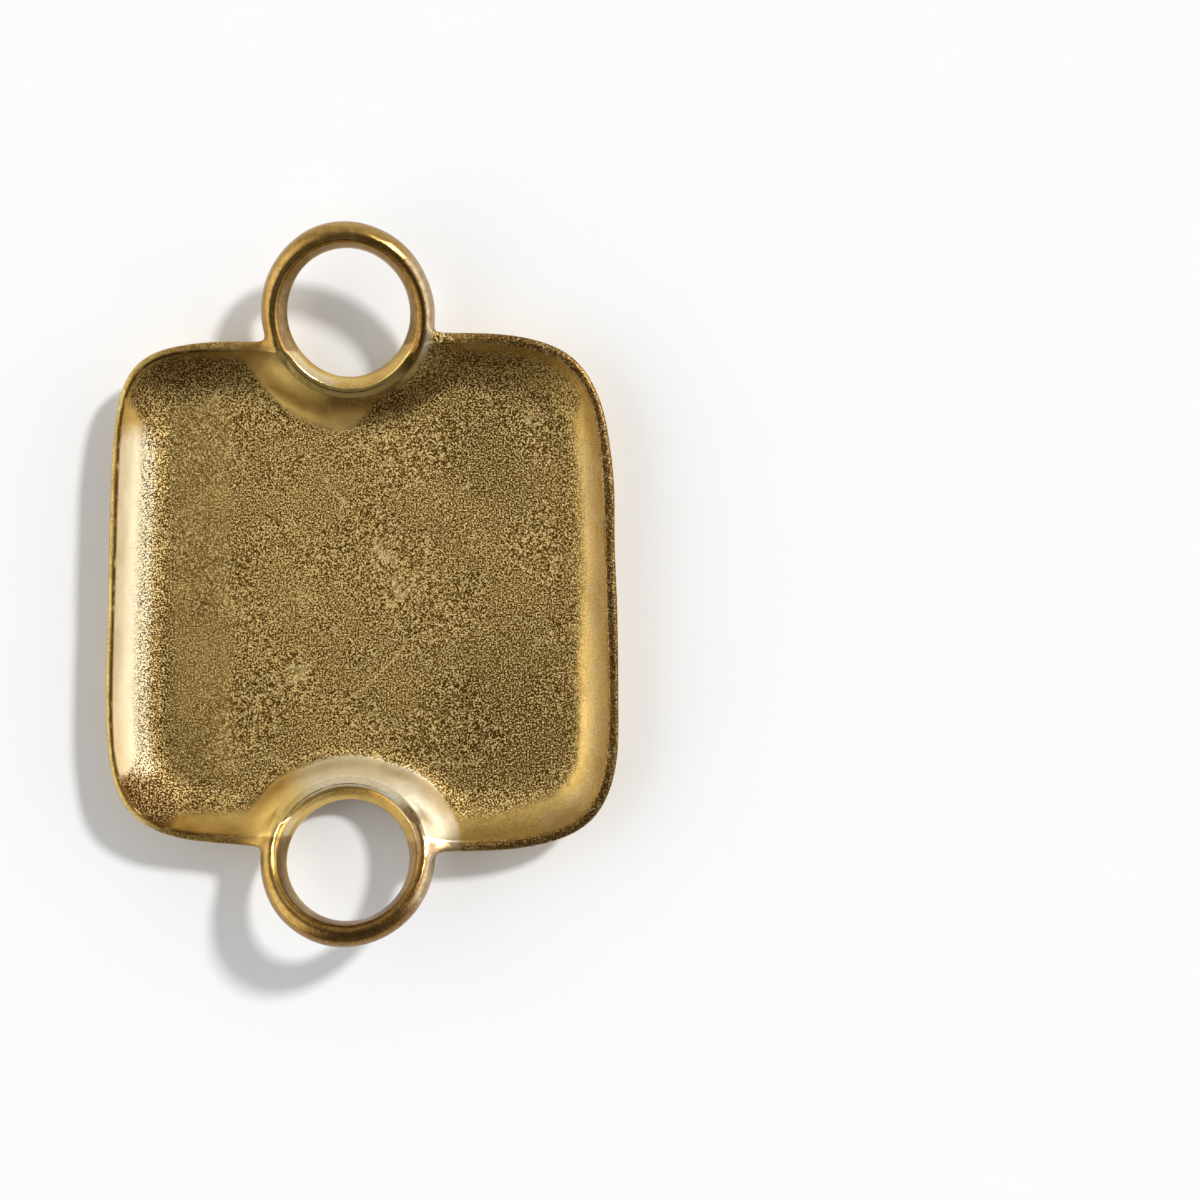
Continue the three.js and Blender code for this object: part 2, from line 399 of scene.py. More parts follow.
def as_triangles(points, quads):
    """Each quad as two triangles, split along its shorter diagonal."""
    first = np.linalg.norm(points[quads[:, 0]] - points[quads[:, 2]], axis=1)
    second = np.linalg.norm(points[quads[:, 1]] - points[quads[:, 3]], axis=1)
    turned = np.where((first <= second)[:, None], quads, np.roll(quads, -1, axis=1))
    return np.concatenate([turned[:, [0, 1, 2]], turned[:, [0, 2, 3]]])


def cut_along(points, triangles, level):
    """Splits the triangles where level(points) changes sign, and settles the new points."""
    value = level(points)
    value = np.where(np.abs(value) < 1e-6, 1e-6, value)
    sides = np.concatenate([triangles[:, [0, 1]], triangles[:, [1, 2]], triangles[:, [2, 0]]])
    sides = np.sort(sides, axis=1)
    edges, which = np.unique(sides, axis=0, return_inverse=True)
    which = which.reshape(3, -1).T
    start, end = value[edges[:, 0]], value[edges[:, 1]]
    crossed = (start < 0) != (end < 0)
    share = (start / np.where(crossed, start - end, 1))[crossed][:, None]
    fresh = points[edges[crossed, 0]] * (1 - share) + points[edges[crossed, 1]] * share
    made = np.full(len(edges), -1)
    made[crossed] = len(points) + np.arange(crossed.sum())
    points = np.concatenate([points, settle(fresh, rounds=3)])
    return points, split_triangles(triangles, made[which], value)


def split_triangles(triangles, made, value):
    """made holds the new point on each triangle's sides, or -1."""
    split = (made >= 0).any(1)
    kept = triangles[~split]
    some, new = triangles[split], made[split]
    negative = value[some] < 0
    lone_sign = negative.sum(1) == 1
    lone = np.argmax(negative == lone_sign[:, None], axis=1)
    rows = np.arange(len(some))
    a, b, c = (some[rows, (lone + i) % 3] for i in range(3))
    on_ab, on_ca = new[rows, lone], new[rows, (lone + 2) % 3]
    tip = np.stack([a, on_ab, on_ca], 1)
    rest = np.concatenate([np.stack([on_ab, b, c], 1), np.stack([on_ab, c, on_ca], 1)])
    return np.concatenate([kept, tip, rest])


def rim_crease(offset):
    """Level that is zero a little to one side of the rim's crisp inner edge."""
    def level(points):
        x, y, z = points.T
        inset_mm = inset(x, y)
        return below_wall(inset_mm, x, z) - below_rim(inset_mm, z) - offset
    return level


def ring_crease(end, offset):
    """Level that is zero a little to one side of a ring's crease."""
    def level(points):
        radius, height, _ = in_ring(end, *points.T)
        out = radius - RING_MIDDLE[0]
        up = height - RING_MIDDLE[1]
        return out * math.sin(CREASE_TURN) - up * math.cos(CREASE_TURN) - offset
    return level


def dressed_crease(end, offset):
    """The same for the edge between a ring's inner face and the dressed collar."""
    def level(points):
        radius, height, turn = in_ring(end, *points.T)
        free = eased(44, 49, radius) + eased(DRESSED_TURN[0], DRESSED_TURN[1], np.abs(turn))
        return in_ring_metal(radius, height) - dressing(radius, height, turn) + 20 * free - offset
    return level


def parting(end):
    """Level that is negative on the ring's side of its join with the pan."""
    def level(points):
        radius, _, turn = in_ring(end, *points.T)
        swing = PART_SWING / (1 + np.exp(-(np.abs(turn) - PART_ANGLE[end]) / PART_BLEND))
        return radius - PART_RADIUS - swing
    return level


def whole_surface():
    """Points and triangles of the tray's metal, with edges laid along its creases and joins."""
    points, quads = surface_net(*sample_grid())
    points = relaxed(settle(points), quads)
    triangles = as_triangles(points, quads)
    levels = [rim_crease(offset) for offset in RIM_EDGE_LOOPS]
    levels += [ring_crease(end, offset) for end in RING_Y for offset in RING_EDGE_LOOPS]
    levels += [dressed_crease(end, offset) for end in RING_Y for offset in RING_EDGE_LOOPS]
    levels += [parting(end) for end in RING_Y]
    for level in levels:
        points, triangles = cut_along(points, triangles, level)
    return points, triangles


# ---------------------------------------------------------------- parting it into closed pieces

def open_edges(triangles):
    """Directed edges that belong to one triangle only."""
    sides = np.concatenate([triangles[:, [0, 1]], triangles[:, [1, 2]], triangles[:, [2, 0]]])
    size = triangles.max() + 1
    forward = sides[:, 0] * size + sides[:, 1]
    backward = sides[:, 1] * size + sides[:, 0]
    return sides[~np.isin(forward, backward)]


def loops_of(edges):
    """Chains the open edges into closed loops of points."""
    after = dict(edges.tolist())
    loops = []
    while after:
        start, here = after.popitem()
        loop = [start]
        while here != start:
            loop.append(here)
            here = after.pop(here)
        loops.append(loop)
    return loops


def join_cap(points, loop, end):
    """A strip of triangles that closes a piece across its join, between the loop's two sides."""
    turn = in_ring(end, *points[loop].T)[2]
    first = int(turn.argmin())
    loop = loop[first:] + loop[:first]
    turn = np.roll(turn, -first)
    last = int(turn.argmax())
    going = list(zip(loop[:last + 1], turn[:last + 1]))
    coming = list(zip(loop[:1] + loop[:last - 1:-1], np.append(turn[0], turn[:last - 1:-1])))
    cap = []
    i, j = 0, 0
    while i < len(going) - 1 or j < len(coming) - 1:
        at_end = j == len(coming) - 1
        if at_end or (i < len(going) - 1 and going[i + 1][1] <= coming[j + 1][1]):
            cap.append((going[i + 1][0], going[i][0], coming[j][0]))
            i += 1
        else:
            cap.append((going[i][0], coming[j][0], coming[j + 1][0]))
            j += 1
    return np.array([corners for corners in cap if len(set(corners)) == 3])


def closed_piece(points, triangles):
    """The given triangles with their joins capped."""
    parts = [triangles]
    for loop in loops_of(open_edges(triangles)):
        end = "far" if points[loop[0], 1] > 0 else "near"
        parts.append(join_cap(points, loop, end))
    return np.concatenate(parts)


def most_level(levels):
    """Of each triangle's three levels, the one furthest from zero."""
    return levels[np.arange(len(levels)), np.abs(levels).argmax(1)]


def parted(points, triangles):
    """The metal's triangles as {piece: triangles}: the pan and a ring at each end."""
    is_ring = {end: most_level(parting(end)(points)[triangles]) < 0 for end in RING_Y}
    pieces = {f"handle_ring_{end}": triangles[is_ring[end]] for end in RING_Y}
    pieces["tray_pan"] = triangles[~(is_ring["far"] | is_ring["near"])]
    return {name: closed_piece(points, part) for name, part in pieces.items()}


# ---------------------------------------------------------------- Blender meshes

def row_origin():
    """Where the pan's own middle lies in the row frame, in millimetres: the middle of its four pads."""
    middles = [sum(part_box(f"pad_{end}_{side}"), Vector()) / 2
               for end, side in product(("far", "near"), ("left", "right"))]
    middle = sum(middles, Vector()) / len(middles)
    return np.array([middle.x / MM, middle.y / MM, 0.0])


ORIGIN = row_origin()


def around(turn, middle, reach, fade):
    """1 within reach of a middle turn, easing to 0 over fade; all in degrees round a ring."""
    away = np.abs((np.degrees(turn) - middle + 180) % 360 - 180)
    return eased(reach + fade, reach, away)


def grit_share(x, y, z, normals):
    """How far a point is on rough cast skin: 1 on the floor, 0 on dressed walls, collars and rings."""
    top = pan_grit(x, y, inset(x, y))
    radius, _, turn = in_ring("far", x, y, z)
    top = np.maximum(top, 0.85 * around(turn, 45, 30, 15) * eased(66, 60, radius) * eased(0, 40, y))
    top = top * eased(0, 1, (radius - 63 + 17 * eased(-8, 22, np.degrees(turn))) / 7)
    radius, _, turn = in_ring("near", x, y, z)
    top = top * eased(0, 1, (radius - 57 - 5 * eased(18, 48, np.degrees(np.abs(turn)))) / 7)
    top = top * eased(0.1, 0.4, normals[:, 2])
    under = eased(0.3, 0.8, -normals[:, 2]) * eased(9, 4, z)
    return np.maximum(top, 0.6 * under)


def pan_grit(x, y, inset_mm):
    """The same for the pan's inside, as if it had no collars: the walls are dressed, less so at the top."""
    left = eased(-60, -115, x)
    corner = eased(-103, -122, x) * eased(-92, -116, y)
    top_wall = eased(95, 115, y)
    near_right = eased(70, 105, x) * eased(-75, -112, y)
    dressed = np.maximum(near_right, 0.8 * eased(85, 110, x) * eased(20, -60, y))
    start = 9 - left - 8 * corner - 6 * top_wall + 6 * dressed
    spread = 20 - 7 * left - 4 * corner - 6 * top_wall
    floor = eased(0, 1, (inset_mm - start) / spread)
    strip = eased(-122, -110, x) * eased(-70, -84, x) * eased(125, 105, np.abs(y))
    walls = 0.3 * (1 - left * eased(3.5, 5, inset_mm)) + 0.08 * eased(7, 5, inset_mm)
    return np.maximum(floor * (1 - 0.38 * strip), walls)


def patina_and_shade_share(x, y, z, normals):
    """How far brown patina and painted shade cover a point of the pan or the rings."""
    shade = pan_patina_and_shade(x, y, z, normals)
    for end, middle, reach, depth in (("far", 180, 42, 0.3), ("near", 166, 30, 0.72)):
        radius, _, turn = in_ring(end, x, y, z)
        tip = depth * around(turn, middle, reach, 36) * eased(54, 51.5, radius)
        crest = 0.7 * around(turn, 110, 50, 30) * eased(48, 45, radius) * eased(40, 42, radius)
        shade = np.maximum(shade, eased(-20, 10, z) * np.maximum(tip, crest))
    radius, _, turn = in_ring("far", x, y, z)
    hollow = around(turn, 12, 20, 22) * eased(44, 47, radius) * eased(62, 54, radius)
    return np.maximum(shade, 0.55 * hollow * eased(100, 110, y))


def pan_patina_and_shade(x, y, z, normals):
    """Patina on the rim's right and ends and high on the far wall, with painted shade there for their dark
    reflections; darker in the near left corner.
    """
    inset_mm = inset(x, y)
    # Patina with painted shade: the rim's right and ends darkened for the dark reflection they show.
    rim = eased(7.4, 5.4, inset_mm) * eased(18, 22, z) * eased(-0.2, 0.2, normals[:, 2])
    rim = rim * np.maximum(eased(10, 100, x), 0.5 * eased(130, 142, np.abs(y)))
    # Patina with painted shade: high on the far wall, darkened for the dark reflection it shows.
    wall_top = eased(24, 14, inset_mm) * eased(8, 13, inset_mm) * eased(100, 122, y)
    wall_top = wall_top * eased(110, 85, x) * eased(52, 66, np.abs(x - RING_X))
    wall_top = wall_top * eased(0.35, 0.8, normals[:, 2])
    corner = eased(-104, -122, x) * eased(-102, -118, y) * eased(3, 6, inset_mm) * eased(36, 22, inset_mm)
    corner = corner * eased(0.0, 0.3, normals[:, 2])
    return np.maximum(np.maximum(0.85 * rim, 0.35 * wall_top), 1.2 * corner)


INNER_PAINTED_HIGHLIGHT = {"far": -65, "near": -105}     # turns where the rings' inner faces get a painted highlight


def painted_highlight_share(x, y, z, normals):
    """How far a point is painted pale as a highlight: the side walls, the near collar and the rings."""
    inset_mm = inset(x, y)
    wall = eased(-104, -118, x) * eased(3.4, 5.5, inset_mm) * eased(28, 15, inset_mm)
    right = eased(112, 126, x + 18 * eased(-80, -110, y))
    right = right * eased(5, 8, inset_mm) * eased(26, 14, inset_mm) * eased(110, 70, y)
    painted_highlight = np.maximum(wall * eased(108, 78, y) * eased(-135, -100, y), 0.3 * right)
    painted_highlight = painted_highlight * eased(0.1, 0.3, normals[:, 2])
    for end in RING_Y:
        radius, height, turn = in_ring(end, x, y, z)
        crest = around(turn, 98, 24, 25) * eased(44.5, 46.5, radius) * eased(51.5, 50, radius)
        inner = around(turn, INNER_PAINTED_HIGHLIGHT[end], 42, 25) * eased(41, 39.5, radius)
        painted_highlight = np.maximum(painted_highlight, 0.75 * crest * eased(-2, 2, height))
        painted_highlight = np.maximum(painted_highlight, 0.55 * inner * eased(-1, 1, height))
    return np.maximum(painted_highlight, collar_painted_highlight(x, y, z) * eased(0.2, 0.5, normals[:, 2]) * eased(-60, -80, y))


def collar_painted_highlight(x, y, z):
    """The painted highlight on the near collar, more so on its right."""
    radius, _, turn = in_ring("near", x, y, z)
    right = eased(15, 50, np.degrees(turn))
    outer = eased(64 + 5 * right, 60 + 4 * right, radius)
    return around(turn, 25, 45, 40) * eased(40, 41, radius) * outer * (0.6 + 0.2 * right)


def skin_share(x, y):
    """How dark the rough skin is: darker towards the right-hand corners, paler in a band on the left."""
    def patch(across, along, reach):
        return np.exp(-((x - across) ** 2 + (y - along) ** 2) / reach ** 2)
    dark = 0.5 * patch(80, -80, 48) + 0.38 * patch(75, 85, 42)
    edge = 0.12 * eased(-78, -90, x)
    band = 0.42 * np.exp(-((x + 50) / 16) ** 2) * eased(60, 30, np.abs(y - 10))
    wall = 0.4 * eased(27, 16, inset(x, y)) * eased(-60, -20, x)
    return np.clip(0.42 + dark + edge - band - wall, 0, 1)


def painted_edge_shade_share(x, y, z):
    """1 on the thin lines of painted shade along the creases of the rings and inside the left half of the
    rim.
    """
    inset_mm = inset(x, y)
    gap = below_wall(inset_mm, x, z) - below_rim(inset_mm, z)
    rim = eased(1.1, 0.3, np.abs(gap)) * eased(20, 24, z) * eased(-60, -100, x)
    line = rim * eased(1, 3, inset_mm)
    for end in RING_Y:
        radius, height, turn = in_ring(end, x, y, z)
        out = radius - RING_MIDDLE[0]
        up = height - RING_MIDDLE[1]
        away = np.abs(out * math.sin(CREASE_TURN) - up * math.cos(CREASE_TURN))
        crease = eased(0.6, 0.1, away) * eased(3, 5, height) * eased(52, 48, radius)
        line = np.maximum(line, crease * around(turn, -90, 100, 30))
    return line


def crest_share(points, normals, reach=1.6):
    """Mean curvature of the surface, per millimetre: positive along crests, negative in hollows."""
    side = np.cross(normals, np.where(np.abs(normals[:, [0]]) < 0.7, [[1, 0, 0]], [[0, 1, 0]]))
    side /= np.linalg.norm(side, axis=1)[:, None]
    other = np.cross(normals, side)
    beside = [points + reach * way for way in (side, -side, other, -other)]
    return sum(field_at(p) for p in beside) / (2 * reach ** 2)


def mesh_object(name, points, triangles, normals, shares):
    """A Blender object in the row frame from millimetre points about the pan's middle."""
    used, corners = np.unique(triangles, return_inverse=True)
    mesh = bpy.data.meshes.new(name)
    mesh.vertices.add(len(used))
    mesh.vertices.foreach_set("co", ((points[used] + ORIGIN) * MM).astype(np.float32).ravel())
    mesh.loops.add(corners.size)
    mesh.loops.foreach_set("vertex_index", corners.astype(np.int32).ravel())
    mesh.polygons.add(len(triangles))
    mesh.polygons.foreach_set("loop_start", np.arange(0, corners.size, 3, dtype=np.int32))
    mesh.update(calc_edges=True)
    mesh.shade_smooth()
    for share, values in shares.items():
        layer = mesh.attributes.new(share, "FLOAT", "POINT")
        layer.data.foreach_set("value", values[used].astype(np.float32))
    mesh.normals_split_custom_set_from_vertices(normals[used].astype(np.float32).tolist())
    made = bpy.data.objects.new(name, mesh)
    bpy.context.scene.collection.objects.link(made)
    return made


def cast_pieces(brass):
    """The pan and the two rings, each a closed piece of the one blended surface."""
    points, triangles = whole_surface()
    normals = gradient_at(points)
    normals /= np.linalg.norm(normals, axis=1)[:, None]
    x, y, z = points.T
    shares = {"grit": grit_share(x, y, z, normals), "crest": crest_share(points, normals),
              "patina_and_shade": patina_and_shade_share(x, y, z, normals), "painted_highlight": painted_highlight_share(x, y, z, normals),
              "line": painted_edge_shade_share(x, y, z), "skin": skin_share(x, y)}
    for node, part in parted(points, triangles).items():
        piece = mesh_object("cast_" + node, points, part, normals, shares)
        piece.data.materials.append(brass[node])
        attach(piece, "root")
        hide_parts(node)


PAD_SEGMENTS = 64
PAD_PROFILE = [(0.0, 0.45), (2.2, 0.45), (2.6, 0.2), (3.1, 0.2), (3.5, 0.45), (4.6, 0.45), (5.0, 0.1),
               (5.4, 0.0), (6.3, 0.0), (6.75, 0.12), (6.95, 0.4), (7.0, 0.8), (7.0, 1.25), (6.85, 1.5),
               (6.5, 1.6), (0.0, 1.6)]      # radius and height, up from the table


def pad_mesh(name, middle):
    """A moulded rubber pad: rounded edges, a raised tread ring and a dimple underneath."""
    mesh = bpy.data.meshes.new(name)
    turns = [2 * math.pi * i / PAD_SEGMENTS for i in range(PAD_SEGMENTS)]
    inner = PAD_PROFILE[1:-1]
    vertices = [(middle.x + r * MM * math.cos(a), middle.y + r * MM * math.sin(a), h * MM)
                for r, h in inner for a in turns]
    faces = [(row * PAD_SEGMENTS + i, row * PAD_SEGMENTS + (i + 1) % PAD_SEGMENTS,
              (row + 1) * PAD_SEGMENTS + (i + 1) % PAD_SEGMENTS, (row + 1) * PAD_SEGMENTS + i)
             for row in range(len(inner) - 1) for i in range(PAD_SEGMENTS)]
    last = (len(inner) - 1) * PAD_SEGMENTS
    low = len(vertices)
    vertices += [(middle.x, middle.y, PAD_PROFILE[end][1] * MM) for end in (0, -1)]
    faces += [(low, (i + 1) % PAD_SEGMENTS, i) for i in range(PAD_SEGMENTS)]
    faces += [(low + 1, last + i, last + (i + 1) % PAD_SEGMENTS) for i in range(PAD_SEGMENTS)]
    mesh.from_pydata(vertices, [], faces)
    mesh.shade_smooth()
    return mesh


def pads(rubber):
    for end, side in product(("far", "near"), ("left", "right")):
        node = f"pad_{end}_{side}"
        middle = sum(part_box(node), Vector()) / 2
        piece = bpy.data.objects.new("moulded_" + node, pad_mesh(node, middle))
        bpy.context.scene.collection.objects.link(piece)
        piece.data.materials.append(rubber)
        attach(piece, "root")
        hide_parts(node)


# ---------------------------------------------------------------- materials

def linear(red, green, blue):
    """A colour given as 0 to 255 on screen, as the numbers that shaders take."""
    parts = [c / 255 for c in (red, green, blue)]
    return tuple(c / 12.92 if c < 0.04 else ((c + 0.055) / 1.055) ** 2.4 for c in parts) + (1.0,)


# Pale brass: the colour of the painted highlights.
HIGHLIGHT_PALE_BRASS = linear(245, 232, 200)
BRIGHT_BRASS = linear(228, 194, 116)
AGED_BRASS = linear(200, 164, 88)
BROWN_BRASS = linear(132, 90, 34)
CAST_SKIN = linear(176, 144, 74)
DARK_SKIN = linear(114, 85, 34)
# Glint colour: painted glints on the grit, and the bright scratches.
GRIT_GLINT = linear(236, 212, 150)
# Dark patina, also the colour of the painted shade.
DARK_PATINA_AND_SHADE = linear(66, 40, 12)


class Shader:
    """Short calls for building a material's nodes."""

    def __init__(self, name):
        self.material = bpy.data.materials.new(name)
        self.material.use_nodes = True
        self.tree = self.material.node_tree
        self.surface = self.tree.nodes["Principled BSDF"]
        self.place = self.add("ShaderNodeTexCoord").outputs["Object"]

    def add(self, kind, inputs=None, **settings):
        made = self.tree.nodes.new(kind)
        for key, value in settings.items():
            setattr(made, key, value)
        for key, value in (inputs or {}).items():
            self.set(made.inputs[key], value)
        return made

    def set(self, socket, value):
        if isinstance(value, bpy.types.NodeSocket):
            self.tree.links.new(value, socket)
        else:
            socket.default_value = value

    def share(self, name):
        return self.add("ShaderNodeAttribute", attribute_name=name).outputs["Fac"]

    def stretched(self, scale):
        return self.add("ShaderNodeMapping", {"Vector": self.place, "Scale": scale}).outputs[0]

    def noise(self, size_mm, detail=3.0, rough=0.55, place=None, warp=0.0):
        """Noise from 0 to 1 whose blotches are about size_mm across."""
        inputs = {"Vector": place or self.place, "Scale": 1 / (size_mm * MM), "Detail": detail,
                  "Roughness": rough, "Distortion": warp}
        return self.add("ShaderNodeTexNoise", inputs).outputs["Fac"]

    def sum(self, *terms):
        total = terms[0]
        for term in terms[1:]:
            total = self.add("ShaderNodeMath", {0: total, 1: term}, operation="ADD").outputs[0]
        return total

    def times(self, *terms):
        total = terms[0]
        for term in terms[1:]:
            total = self.add("ShaderNodeMath", {0: total, 1: term}, operation="MULTIPLY").outputs[0]
        return total

    def span(self, value, low, high, to_low=0.0, to_high=1.0):
        """value from low..high eased to to_low..to_high, held at the ends."""
        inputs = {"Value": value, "From Min": low, "From Max": high, "To Min": to_low, "To Max": to_high}
        return self.add("ShaderNodeMapRange", inputs, interpolation_type="SMOOTHSTEP").outputs[0]

    def mix(self, share, first, second):
        inputs = {"Factor": share, 6: first, 7: second}
        return self.add("ShaderNodeMix", inputs, data_type="RGBA").outputs[2]

    def bump(self, height, depth_mm, strength=1.0, under=None):
        inputs = {"Height": height, "Distance": depth_mm * MM, "Strength": strength}
        if under is not None:
            inputs["Normal"] = under
        return self.add("ShaderNodeBump", inputs).outputs["Normal"]


GRAIN_SIZE = 0.98           # millimetres across a grain of the cast skin
FINE_SIZE = 0.55
GRAIN_DEPTH = 0.5           # and how deep the bumps are
FINE_DEPTH = 0.25
BLOTCH_DEPTH = 0.22
STREAK_DEPTH = 0.03


def scratch_lines(shader, size_mm):
    """Long thin scratches: the contour lines of a smooth noise, broken up here and there."""
    level = shader.sum(shader.noise(size_mm, 1, 0.4, warp=1.0), -0.5)
    away = shader.add("ShaderNodeMath", {0: level}, operation="ABSOLUTE").outputs[0]
    broken = shader.span(shader.noise(17, 2), 0.48, 0.58)
    return shader.times(shader.span(away, 0.006, 0.002), broken)


class BrassTerms:
    """The noises and shares that the brass's colour, roughness and bumps are mixed from."""

    def __init__(self, s, brown):
        self.blotches = s.noise(9, 4, 0.6)
        self.clouds = s.noise(38, 5, 0.6, warp=0.6)
        self.grain = s.noise(GRAIN_SIZE, 2, 0.6)
        torn = s.noise(5, 5, 0.75)
        ragged = s.sum(s.times(torn, 0.6), s.times(self.grain, 0.4), -0.5)
        self.grit = s.span(s.sum(s.share("grit"), s.times(ragged, 0.9)), 0.05, 0.9)
        self.patina_and_shade = s.sum(s.share("patina_and_shade"), s.times(ragged, 0.9))
        self.painted_highlight = s.span(s.sum(s.share("painted_highlight"), s.times(ragged, 0.8)), 0.1, 0.9)
        self.line = s.times(s.share("line"), s.span(self.blotches, 0.35, 0.5, 0.35, 0.95))
        tone = s.sum(s.times(self.blotches, 0.5), 0.25, s.times(s.share("crest"), -1.1), brown)
        self.tone = s.span(tone, 0.45, 0.95)


def dressed_colour(s, terms):
    """Dressed brass, browned in hollows; the rough skin lies over it where there is grit, and pale painted
    highlights over all.
    """
    smooth = s.mix(s.span(terms.clouds, 0.35, 0.7), BRIGHT_BRASS, AGED_BRASS)
    smooth = s.mix(terms.tone, smooth, BROWN_BRASS)
    dark = s.sum(s.share("skin"), s.times(terms.clouds, 0.7), s.times(terms.blotches, 0.3), -0.5)
    skin = s.mix(s.span(dark, 0.15, 0.95), CAST_SKIN, DARK_SKIN)
    colour = s.mix(terms.grit, smooth, skin)
    # Painted highlight: pale brass where the highlight share is high.
    return s.mix(terms.painted_highlight, colour, HIGHLIGHT_PALE_BRASS)


def weathered_colour(s, terms, specks):
    """The same with patina and painted dark reflections, dark pits, painted glints on bright peaks,
    scratches and the painted shade lines in the creases.
    """
    grit, patina_and_shade = terms.grit, terms.patina_and_shade
    # Patina, with painted shade on the pan's rim and far wall.
    colour = s.mix(s.span(patina_and_shade, 0.08, 0.6, 0.0, 0.85), dressed_colour(s, terms), BROWN_BRASS)
    colour = s.mix(s.span(patina_and_shade, 0.5, 1.0, 0.0, 0.75), colour, DARK_PATINA_AND_SHADE)
    pitted = s.sum(s.times(grit, 0.95), s.times(patina_and_shade, 0.35), specks)
    colour = s.mix(s.times(s.span(terms.grain, 0.56, 0.42), pitted), colour, DARK_PATINA_AND_SHADE)
    # Painted glints: pale specks on the grain's peaks.
    glints = s.sum(s.times(grit, s.span(patina_and_shade, 0.3, 1.0, 0.75, 0.45)), s.times(patina_and_shade, 0.2))
    colour = s.mix(s.times(s.span(terms.grain, 0.52, 0.61), glints), colour, GRIT_GLINT)
    scratches = s.sum(scratch_lines(s, 62), scratch_lines(s, 90))
    colour = s.mix(s.times(scratches, grit, 0.3), colour, GRIT_GLINT)
    # Painted shade: the thin dark lines along the creases, on their left sides.
    return s.mix(terms.line, colour, DARK_PATINA_AND_SHADE)


def brass_bumps(s, terms):
    """Soft blotches and polishing streaks everywhere, and grain where there is grit."""
    streaks = s.noise(1, 3, 0.6, place=s.stretched((900.0, 40.0, 200.0)))
    soft = s.bump(terms.blotches, BLOTCH_DEPTH)
    lined = s.bump(streaks, STREAK_DEPTH, under=soft)
    pebbled = s.bump(terms.grain, GRAIN_DEPTH, strength=s.span(terms.grit, 0.0, 1.0, 0.06, 1.0), under=lined)
    fine = s.noise(FINE_SIZE, 2, 0.6)
    return s.bump(fine, FINE_DEPTH, strength=s.span(terms.grit, 0.0, 1.0, 0.05, 0.9), under=pebbled)


def cast_brass(name, brown, specks, roughness):
    """Sand-cast brass: gritty where the grit share says and dressed smooth elsewhere."""
    s = Shader(name)
    terms = BrassTerms(s, brown)
    satin = s.span(terms.blotches, 0.3, 0.7, roughness - 0.05, roughness + 0.08)
    satin = s.sum(satin, s.times(terms.grit, 0.04), s.times(terms.tone, 0.05))
    s.set(s.surface.inputs["Base Color"], weathered_colour(s, terms, specks))
    s.set(s.surface.inputs["Roughness"], satin)
    s.surface.inputs["Metallic"].default_value = 1.0
    s.set(s.surface.inputs["Normal"], brass_bumps(s, terms))
    return s.material


def pad_rubber():
    s = Shader("pad_rubber")
    clouds = s.noise(4, 4)
    s.set(s.surface.inputs["Base Color"], s.mix(clouds, linear(34, 32, 30), linear(62, 59, 55)))
    s.set(s.surface.inputs["Roughness"], s.span(clouds, 0.3, 0.7, 0.68, 0.9))
    s.set(s.surface.inputs["Normal"], s.bump(s.noise(0.25, 2), 0.05))
    return s.material


PAPER = ((0.85, 0.85, 0.85, 1), (0.86, 0.86, 0.86, 1))


def floor_paper():
    s = Shader("floor_paper")
    clouds = s.noise(60, 3)
    s.set(s.surface.inputs["Base Color"], s.mix(clouds, *PAPER))
    s.set(s.surface.inputs["Roughness"], s.span(clouds, 0.3, 0.7, 0.9, 1.0))
    s.surface.inputs["Specular IOR Level"].default_value = 0.1
    return s.material


# ---------------------------------------------------------------- floor, light and camera

FLOOR_REACH = 15.0
KEY_FROM = Vector((0.95, 0.75, 1.0))
KEY_POWER = 2.46
KEY_SPREAD = math.radians(7)
CAMERA_OVER = (0.138, -0.0094)
CAMERA_HEIGHT = 1.4
SEEN_WIDTH = 0.6964         # width that the picture spans at the rim's height
SENSOR = 36.0


def add_floor():
    mesh = bpy.data.meshes.new("floor")
    corners = [(-1, -1), (1, -1), (1, 1), (-1, 1)]
    mesh.from_pydata([(x * FLOOR_REACH, y * FLOOR_REACH, 0) for x, y in corners], [], [(0, 1, 2, 3)])
    floor = bpy.data.objects.new("floor", mesh)
    bpy.context.scene.collection.objects.link(floor)
    mesh.materials.append(floor_paper())


def add_key():
    data = bpy.data.lights.new("key", "SUN")
    data.energy = KEY_POWER
    data.angle = KEY_SPREAD
    key = bpy.data.objects.new("key", data)
    key.rotation_mode = "QUATERNION"
    key.rotation_quaternion = KEY_FROM.to_track_quat("Z", "Y")
    bpy.context.scene.collection.objects.link(key)


ROOM_LEVELS = [(0.0, 0.7), (0.2, 0.7), (0.5, 0.64), (0.8, 0.39), (0.95, 0.2), (1.0, 0.2)]
ROOM_SEEN = (0.9, 0.9, 0.9, 1)
CARDS = [                   # soft white cards: where they stand, cosines of their edges, brightness
    (Vector((1.0, 0.1, 0.12)), 0.8, 0.95, 1.25),
    (Vector((-1.0, -0.1, 0.35)), 0.6, 0.9, 1.2),
    (Vector((0.1, 1.0, 0.25)), 0.6, 0.9, 0.1),
]
FLAGS = [                   # black cards, in the same terms, with the share of light that they take
    (Vector((0.1, -1.0, 0.35)), 0.4, 0.85, 0.62),
]


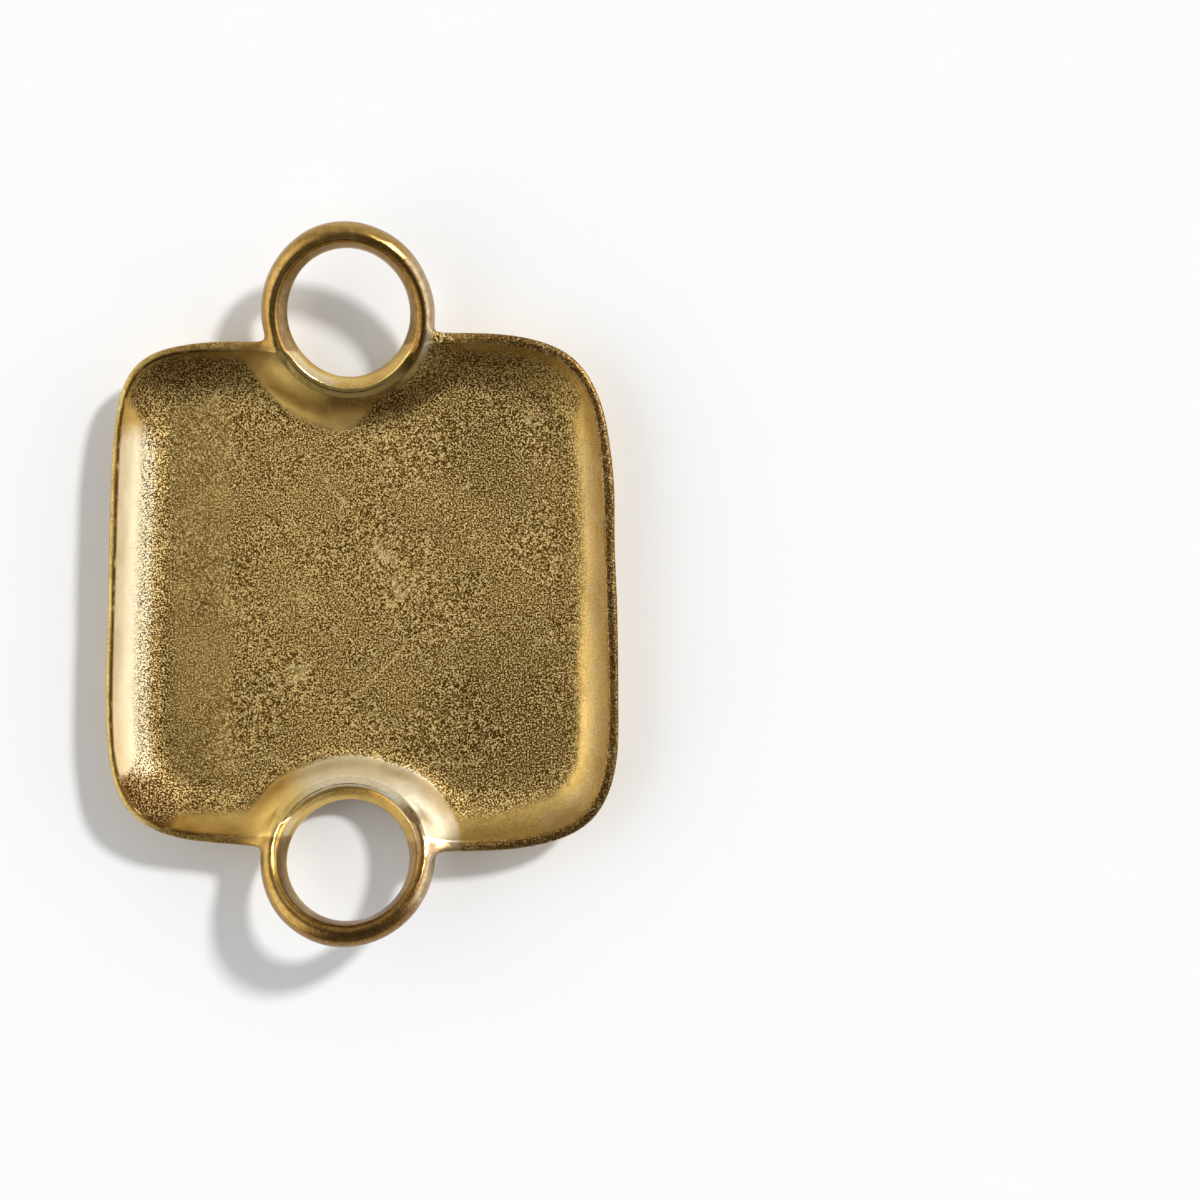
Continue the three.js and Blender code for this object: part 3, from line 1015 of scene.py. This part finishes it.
class Room(Shader):
    """The world's shader: pale low down, dimmer overhead, with white and black cards round it."""

    def __init__(self):
        self.world = bpy.data.worlds.new("room")
        self.world.use_nodes = True
        self.tree = self.world.node_tree
        self.surface = self.tree.nodes["Background"]
        self.place = self.add("ShaderNodeTexCoord").outputs["Generated"]

    def level(self):
        height = self.add("ShaderNodeSeparateXYZ", {0: self.place}).outputs["Z"]
        ramp = self.add("ShaderNodeValToRGB", {"Fac": height})
        stops = ramp.color_ramp.elements
        stops.remove(stops[1])
        for place, _ in ROOM_LEVELS[1:]:
            stops.new(place)
        for stop, (_, level) in zip(stops, ROOM_LEVELS):
            stop.color = (level, level, level, 1)
        return ramp.outputs["Color"]

    def facing(self, way, edge, full):
        """0 to 1 as directions turn towards way, between two cosines."""
        inputs = {0: self.place, 1: way.normalized()}
        cosine = self.add("ShaderNodeVectorMath", inputs, operation="DOT_PRODUCT").outputs["Value"]
        return self.span(cosine, edge, full)

    def build(self):
        light = self.level()
        for way, edge, full, share in FLAGS:
            taken = self.times(self.facing(way, edge, full), -share)
            light = self.times(light, self.sum(1.0, taken))
        for way, edge, full, bright in CARDS:
            light = self.sum(light, self.times(self.facing(way, edge, full), bright))
        seen = self.add("ShaderNodeLightPath").outputs["Is Camera Ray"]
        self.set(self.surface.inputs["Color"], self.mix(seen, light, ROOM_SEEN))
        bpy.context.scene.world = self.world


def add_camera():
    data = bpy.data.cameras.new("camera")
    data.sensor_width = SENSOR
    data.lens = SENSOR * (CAMERA_HEIGHT - RIM_Z * MM) / SEEN_WIDTH
    camera = bpy.data.objects.new("camera", data)
    camera.location = (*CAMERA_OVER, CAMERA_HEIGHT)
    bpy.context.scene.collection.objects.link(camera)
    bpy.context.scene.camera = camera


def build():
    pan = cast_brass("cast_brass", brown=-0.08, specks=0.03, roughness=0.36)
    ring = cast_brass("polished_brass", brown=-0.04, specks=0.09, roughness=0.18)
    cast_pieces({"tray_pan": pan, "handle_ring_far": ring, "handle_ring_near": ring})
    pads(pad_rubber())
    add_floor()
    add_key()
    Room().build()
    add_camera()
    bpy.context.scene.view_settings.view_transform = "Standard"


build()
